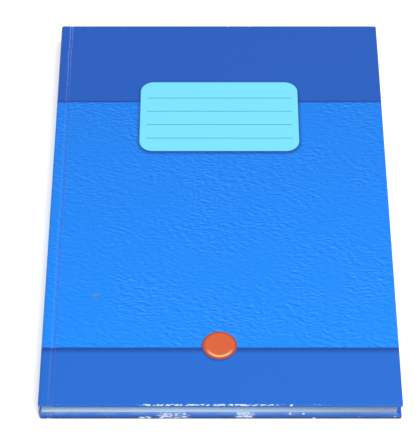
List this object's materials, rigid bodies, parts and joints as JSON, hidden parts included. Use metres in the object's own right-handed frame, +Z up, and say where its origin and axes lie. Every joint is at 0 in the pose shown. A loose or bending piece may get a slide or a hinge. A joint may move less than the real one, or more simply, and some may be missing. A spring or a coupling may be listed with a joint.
{
  "type": "hardback exercise book",
  "caption": "Thick case-bound exercise book with blue printed boards, a grooved joint, a hollow back and sewn ruled leaves; both covers and the outer leaves turn.",
  "frame": {"origin": "middle of the footprint, on the table under the closed book lying on its back cover", "axes": "+X from the spine to the fore edge, +Y from the tail to the head, +Z up through the front cover"},
  "size_m": [0.17, 0.25, 0.0112],
  "materials": {
    "printed_wrap": "blue printed paper, gloss laminated, with a printed leather grain",
    "greyboard": "grey pressed board, raw",
    "endpaper": "uncoated white endpaper",
    "leaf_paper": "uncoated wood-free writing paper, ruled",
    "mull_cloth": "open-weave cotton gauze, starched",
    "kraft_paper": "brown kraft paper",
    "sewing_thread": "white bookbinder's thread"
  },
  "bodies": {
    "text_block": {"section_01": "leaf_paper", "section_02": "leaf_paper", "section_03": "leaf_paper", "section_04": "leaf_paper", "section_05": "leaf_paper", "section_06": "leaf_paper", "section_07": "leaf_paper", "section_08": "leaf_paper", "section_09": "leaf_paper", "section_10": "leaf_paper", "sewing_thread": "sewing_thread", "front_endpaper_fold": "endpaper", "back_endpaper_fold": "endpaper", "mull": "mull_cloth", "kraft_liner": "kraft_paper", "spine_strip": "greyboard", "spine_wrap": "printed_wrap"},
    "front_cover": {"front_board": "greyboard", "front_cover_wrap": "printed_wrap", "front_pastedown": "endpaper"},
    "back_cover": {"back_board": "greyboard", "back_cover_wrap": "printed_wrap", "back_pastedown": "endpaper"},
    "front_flyleaf": {"front_flyleaf": "endpaper"},
    "leaf_001": {"leaf_001": "leaf_paper"},
    "leaf_002": {"leaf_002": "leaf_paper"},
    "leaf_003": {"leaf_003": "leaf_paper"},
    "leaf_004": {"leaf_004": "leaf_paper"},
    "leaf_005": {"leaf_005": "leaf_paper"},
    "back_flyleaf": {"back_flyleaf": "endpaper"},
    "leaf_100": {"leaf_100": "leaf_paper"},
    "leaf_099": {"leaf_099": "leaf_paper"},
    "leaf_098": {"leaf_098": "leaf_paper"}
  },
  "joints": [
    {"name": "front_cover_hinge", "type": "hinge", "parent": "text_block", "child": "front_cover", "pos_m": [-0.0817, 0, 0.01019], "axis": [0, -1, 0], "range_deg": [0, 180]},
    {"name": "back_cover_hinge", "type": "hinge", "parent": "text_block", "child": "back_cover", "pos_m": [-0.0817, 0, 0.00097], "axis": [0, 1, 0], "range_deg": [0, 180]},
    {"name": "front_flyleaf_turn", "type": "hinge", "parent": "text_block", "child": "front_flyleaf", "pos_m": [-0.0817, 0, 0.01019], "axis": [0, -1, 0], "range_deg": [0, 172]},
    {"name": "leaf_001_turn", "type": "hinge", "parent": "text_block", "child": "leaf_001", "pos_m": [-0.0817, 0, 0.01019], "axis": [0, -1, 0], "range_deg": [0, 156]},
    {"name": "leaf_002_turn", "type": "hinge", "parent": "text_block", "child": "leaf_002", "pos_m": [-0.0817, 0, 0.01019], "axis": [0, -1, 0], "range_deg": [0, 134]},
    {"name": "leaf_003_turn", "type": "hinge", "parent": "text_block", "child": "leaf_003", "pos_m": [-0.0817, 0, 0.01019], "axis": [0, -1, 0], "range_deg": [0, 109]},
    {"name": "leaf_004_turn", "type": "hinge", "parent": "text_block", "child": "leaf_004", "pos_m": [-0.0817, 0, 0.01019], "axis": [0, -1, 0], "range_deg": [0, 80]},
    {"name": "leaf_005_turn", "type": "hinge", "parent": "text_block", "child": "leaf_005", "pos_m": [-0.0817, 0, 0.01019], "axis": [0, -1, 0], "range_deg": [0, 48]},
    {"name": "back_flyleaf_turn", "type": "hinge", "parent": "text_block", "child": "back_flyleaf", "pos_m": [-0.0817, 0, 0.00097], "axis": [0, 1, 0], "range_deg": [0, 172]},
    {"name": "leaf_100_turn", "type": "hinge", "parent": "text_block", "child": "leaf_100", "pos_m": [-0.0817, 0, 0.00097], "axis": [0, 1, 0], "range_deg": [0, 145]},
    {"name": "leaf_099_turn", "type": "hinge", "parent": "text_block", "child": "leaf_099", "pos_m": [-0.0817, 0, 0.00097], "axis": [0, 1, 0], "range_deg": [0, 105]},
    {"name": "leaf_098_turn", "type": "hinge", "parent": "text_block", "child": "leaf_098", "pos_m": [-0.0817, 0, 0.00097], "axis": [0, 1, 0], "range_deg": [0, 59]}
  ],
  "couplings": [
    {"joint": "front_flyleaf_turn", "follows": "front_cover_hinge", "ratio": 0.95},
    {"joint": "leaf_001_turn", "follows": "front_cover_hinge", "ratio": 0.86},
    {"joint": "leaf_002_turn", "follows": "front_cover_hinge", "ratio": 0.74},
    {"joint": "leaf_003_turn", "follows": "front_cover_hinge", "ratio": 0.6},
    {"joint": "leaf_004_turn", "follows": "front_cover_hinge", "ratio": 0.44},
    {"joint": "leaf_005_turn", "follows": "front_cover_hinge", "ratio": 0.26},
    {"joint": "back_flyleaf_turn", "follows": "back_cover_hinge", "ratio": 0.95},
    {"joint": "leaf_100_turn", "follows": "back_cover_hinge", "ratio": 0.8},
    {"joint": "leaf_099_turn", "follows": "back_cover_hinge", "ratio": 0.58},
    {"joint": "leaf_098_turn", "follows": "back_cover_hinge", "ratio": 0.32}
  ]
}
